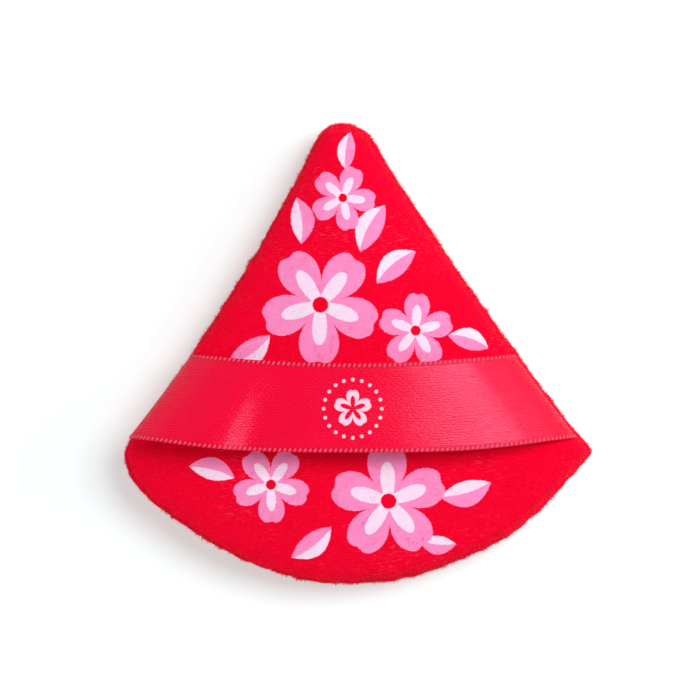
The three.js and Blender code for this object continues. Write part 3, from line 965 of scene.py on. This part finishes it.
ribbon.modifiers["Solidify"].thickness = ribbon_thickness
ribbon.modifiers["Solidify"].offset = 0
bpy.ops.object.modifier_apply(modifier="Solidify")
bpy.ops.object.shade_smooth_by_angle(angle=math.radians(50))

# satin weave, in millimetres of cloth: staggered floats of the warp, which pull a little
# unevenly, and a shaded border under the selvedge loops
weave, taken, given = new_group(
    "satin_weave",
    {"Cloth": "", "Yarn": (0.91, 0.0005, 0.034, 1), "Light yarn": (0.96, 0.006, 0.055, 1)},
    {"Colour": (), "Height": 0.0, "Roughness": 0.0},
)
pulled = add_node(weave, "ShaderNodeTexNoise",
                  {"Vector": stretch(weave, taken["Cloth"], (0.5, 0.8, 1)), "Scale": 1})
shift = add_node(weave, "ShaderNodeVectorMath",
                 {0: pulled.outputs["Color"], 1: (1.2, 0.7, 0), 2: taken["Cloth"]},
                 operation="MULTIPLY_ADD")
rows = add_node(weave, "ShaderNodeTexBrick",
                {"Vector": shift.outputs[0], "Scale": 1.0, "Brick Width": 0.95,
                 "Row Height": 0.42, "Mortar Size": 0.13, "Mortar Smooth": 1.0}, offset=0.5)
floats = sum_up(weave, "SUBTRACT", 1.0, rows.outputs["Fac"])
slant = stretch(weave, taken["Cloth"], (1.4, 4.6, 1), (0, 0, math.radians(-22)))
ripples = grain(weave, slant, 1.0, 1.5)
tone = sum_up(weave, "MULTIPLY_ADD", between(weave, ripples, 0.5, 0.72), 0.12,
              sum_up(weave, "MULTIPLY", floats, 0.12))
colour = blend_colours(weave, tone, taken["Yarn"], taken["Light yarn"])
from_middle = sum_up(weave, "ABSOLUTE", split_up(weave, taken["Cloth"])[1])
border = between(weave, from_middle, 6.6, 6.9)
colour = blend_colours(weave, sum_up(weave, "MULTIPLY", border, 0.5), colour,
                       (0.5, 0.0005, 0.02, 1))
weave.links.new(colour, given["Colour"])
weave.links.new(sum_up(weave, "MULTIPLY_ADD", floats, 0.38, ripples), given["Height"])
dull = sum_up(weave, "MULTIPLY_ADD", rows.outputs["Fac"], 0.22, 0.22)
weave.links.new(sum_up(weave, "MULTIPLY_ADD", border, 0.2, dull), given["Roughness"])

satin, tree, shader, position = new_material("satin_ribbon")
laid = add_node(tree, "ShaderNodeUVMap", {}, uv_map="weave")
cloth = use_group(tree, weave, Cloth=laid.outputs[0])
place = split_up(tree, position)
# a small blossom in a wreath of dots, printed in the middle of the ribbon's face
mark_x, mark_y = -0.9 * mm, -9.4 * mm
wreath_radius = 4.9 * mm
dot_count = 20
dot_core, dot_edge = 0.26 * mm, 0.36 * mm
mark = use_group(tree, blossom, X=place[0], Y=place[1], Middle_X=mark_x, Middle_Y=mark_y,
                 Radius=3.3 * mm, Turn=math.radians(-90))
petals = sum_up(tree, "SUBTRACT", mark["Petals"], mark["Hearts"], clamp=True)
across = sum_up(tree, "SUBTRACT", place[0], mark_x)
along = sum_up(tree, "SUBTRACT", place[1], mark_y)
angle = sum_up(tree, "WRAP", sum_up(tree, "ARCTAN2", along, across),
               math.pi / dot_count, -math.pi / dot_count)
radius = length_of(tree, across, along)
outside = sum_up(tree, "MULTIPLY_ADD", radius, sum_up(tree, "COSINE", angle),
                 -wreath_radius)
beside = sum_up(tree, "MULTIPLY", radius, sum_up(tree, "SINE", angle))
from_dot = length_of(tree, outside, beside)
dots = sum_up(tree, "SUBTRACT", 1.0, between(tree, from_dot, dot_core, dot_edge))
normal = tree.nodes.new("ShaderNodeNewGeometry").outputs["Normal"]
on_face = between(tree, split_up(tree, normal)[2], 0.2, 0.5)
inked = sum_up(tree, "MULTIPLY", sum_up(tree, "MAXIMUM", petals, dots), 0.92)
inked = sum_up(tree, "MULTIPLY", inked, on_face)
threads_run = add_node(tree, "ShaderNodeTangent", {}, direction_type="UV_MAP",
                       uv_map="weave")
fill_in(tree, shader,
        Base_Color=blend_colours(tree, inked, cloth["Colour"], (0.93, 0.66, 0.82, 1)),
        Roughness=cloth["Roughness"], Specular_IOR_Level=0.36,
        Specular_Tint=(0.15, 0.6, 1, 1), Anisotropic=0.7, Anisotropic_Rotation=0.25,
        Tangent=threads_run.outputs[0])
rise(tree, shader, cloth["Height"], 0.035 * mm)
ribbon.data.materials.append(satin)

# selvedges: the weft turns back round each edge in a row of slanting loops
loop_pitch = 0.86 * mm
loop_halves = (0.22 * mm, 0.4 * mm, 0.11 * mm)
loop_slant = math.radians(-28)
loop_inset = 0.32 * mm
bpy.ops.object.select_all(action="DESELECT")
bpy.ops.mesh.primitive_uv_sphere_add(segments=6, ring_count=4, radius=1)
loop_stock = bpy.context.object
loop_stock.data.transform(Matrix.Diagonal((*loop_halves, 1)))
loop_stock.data.transform(Matrix.Rotation(loop_slant, 4, "Z"))
copies = []
for edge, inside, hand in ((0, 1, 1), (-1, -2, -1)):
    line, inner, distances = lines[edge], lines[inside], walked[edge]
    count = int(distances[-1] / loop_pitch)
    for k in range(1, count):
        stop = (k + 0.5) * distances[-1] / (count + 1)
        at, ahead = (
            Vector([np.interp(along, distances, line[:, i]) for i in range(3)])
            for along in (stop, stop + 0.2 * mm)
        )
        along = (ahead - at).normalized()
        index = int(np.searchsorted(distances, stop))
        inward = Vector(inner[min(index, len(inner) - 1)] - line[min(index, len(line) - 1)])
        inward = (inward - along * inward.dot(along)).normalized()
        up = along.cross(inward).normalized() * hand
        turn = Matrix((along, up.cross(along), up)).transposed().to_4x4()
        copy = copy_piece(loop_stock, "selvedge_loop")
        move = at + inward * loop_inset + up * ribbon_thickness * 0.5
        copy.data.transform(Matrix.Translation(move) @ turn)
        copies.append(copy)
bpy.data.objects.remove(loop_stock)
bpy.ops.object.select_all(action="DESELECT")
for copy in copies:
    copy.select_set(True)
bpy.context.view_layer.objects.active = copies[0]
bpy.ops.object.join()
selvedges = bpy.context.object
selvedges.name = selvedges.data.name = "ribbon_selvedges"
bpy.ops.object.shade_smooth()
twist, tree, shader, position = new_material("selvedge_yarn")
strand = grain(tree, stretch(tree, position, turn=(0, 0, 0.5)), 5200, 1.0)
# the loops' yarn is paler and pinker than the ribbon's: painted sheen, with a random tone
# along the strands
fill_in(tree, shader,
        Base_Color=blend_colours(tree, strand, (0.95, 0.03, 0.08, 1), (1, 0.12, 0.2, 1)),
        Roughness=sum_up(tree, "MULTIPLY_ADD", strand, 0.2, 0.4),
        Specular_IOR_Level=0.35, Specular_Tint=(1, 0.45, 0.9, 1))
selvedges.data.materials.append(twist)
for piece in (ribbon, selvedges):
    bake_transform(piece)
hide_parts("finger_ribbon")


# Sewing thread: two-ply spun polyester, dyed to match the covers. A needle's and a
# bobbin's thread are lock-stitched through both allowances, and a third one closes the
# gap that the puff was turned and filled through.
thread_yarn, tree, shader, position = new_material("sewing_thread")
plies = add_node(tree, "ShaderNodeTexWave",
                 {"Vector": position, "Scale": 1600, "Distortion": 2},
                 bands_direction="DIAGONAL").outputs["Fac"]
# painted shade: the grooves between the twisted plies are darker than the plies' crests
fill_in(tree, shader,
        Base_Color=blend_colours(tree, plies, (0.5, 0.004, 0.02, 1), (0.78, 0.02, 0.05, 1)),
        Roughness=sum_up(tree, "MULTIPLY_ADD", plies, -0.15, 0.65))
rise(tree, shader, plies, 0.05 * mm)
for name in ("seam_needle_thread", "seam_bobbin_thread", "closing_thread"):
    nodes[name].data.materials.clear()
    nodes[name].data.materials.append(thread_yarn)


# Table, lights and camera, which aren't part of the puff: a white table in a pale room,
# a large soft lamp at the upper right and three weaker cards round the puff. The camera
# looks straight down.
view_width = 120.2 * mm
view_middle = (-1.37 * mm, 0.5 * mm)
view_distance = 700 * mm

bpy.ops.object.select_all(action="DESELECT")
bpy.ops.mesh.primitive_plane_add(size=3)
table = bpy.context.object
table.name = "table"
white, tree, shader, position = new_material("white_table")
path = tree.nodes.new("ShaderNodeLightPath").outputs
# the ribbon's sheen takes in a greyer table than the camera sees
mirrored = path["Is Glossy Ray"]
fill_in(tree, shader, Roughness=0.9, Specular_IOR_Level=0.0,
        Base_Color=blend_colours(tree, mirrored, (0.8, 0.8, 0.8, 1), (0.3, 0.3, 0.3, 1)))
paper = add_node(tree, "ShaderNodeBsdfDiffuse", {"Color": (0.885, 1, 1, 1)})
shine = add_node(tree, "ShaderNodeEmission", {"Strength": 1.34})
from_middle = add_node(tree, "ShaderNodeVectorMath", {0: position}, operation="LENGTH")
away = between(tree, from_middle.outputs["Value"], 0.1, 0.7)
half = add_node(tree, "ShaderNodeMixShader",
                {0: sum_up(tree, "MULTIPLY_ADD", away, 0.7, 0.3),
                 1: paper.outputs[0], 2: shine.outputs[0]})
seen = sum_up(tree, "MAXIMUM", path["Is Camera Ray"], path["Is Transmission Ray"])
choice = add_node(tree, "ShaderNodeMixShader",
                  {0: seen, 1: shader.outputs[0], 2: half.outputs[0]})
tree.links.new(choice.outputs[0], tree.nodes["Material Output"].inputs["Surface"])
table.data.materials.append(white)

world = bpy.data.worlds.new("studio")
bpy.context.scene.world = world
world.use_nodes = True
tree = world.node_tree
sky = tree.nodes["Background"]
way = split_up(tree, tree.nodes.new("ShaderNodeTexCoord").outputs["Generated"])
overhead = between(tree, way[2], 0.15, 0.42)
zenith = between(tree, way[2], 0.82, 0.95)
# the left wall is darker to the ribbon's sheen than to the camera
mirrored = tree.nodes.new("ShaderNodeLightPath").outputs["Is Glossy Ray"]
leftward = between(tree, sum_up(tree, "MULTIPLY", way[0], -1.0), 0.2, 0.6)
dimmed = sum_up(tree, "MULTIPLY", sum_up(tree, "MULTIPLY", mirrored, leftward), 0.65)
walls = blend_colours(tree, overhead, (1, 1, 1, 1), (0.29, 0.29, 0.29, 1))
walls = blend_colours(tree, dimmed, walls, (0, 0, 0, 1))
walls = blend_colours(tree, zenith, walls, (0.05, 0.05, 0.05, 1))
tree.links.new(walls, sky.inputs["Color"])

for name, place, size, watts in (
    ("soft_lamp", (0.4, 0.29, 0.758), 0.5, 5.5),
    ("right_card", (0.76, 0.12, 0.44), 0.5, 2.3),
    ("left_card", (-0.8, -0.15, 0.2), 0.35, 1.8),
    ("front_card", (-0.25, -0.8, 0.25), 0.35, 0.9),
):
    bpy.ops.object.light_add(type="AREA", location=place)
    lamp = bpy.context.object
    lamp.name = name
    lamp.rotation_euler = Vector(place).to_track_quat("Z", "Y").to_euler()
    lamp.data.shape = "DISK"
    lamp.data.size = size
    lamp.data.energy = watts

bpy.ops.object.camera_add(location=(*view_middle, seam_height + view_distance))
camera = bpy.context.object
camera.rotation_euler = (0, 0, 0)
camera.data.sensor_width = 36
camera.data.lens = 36 * view_distance / view_width
camera.data.clip_start = 0.01
bpy.context.scene.camera = camera
bpy.context.scene.view_settings.view_transform = "Standard"

bpy.context.view_layer.update()
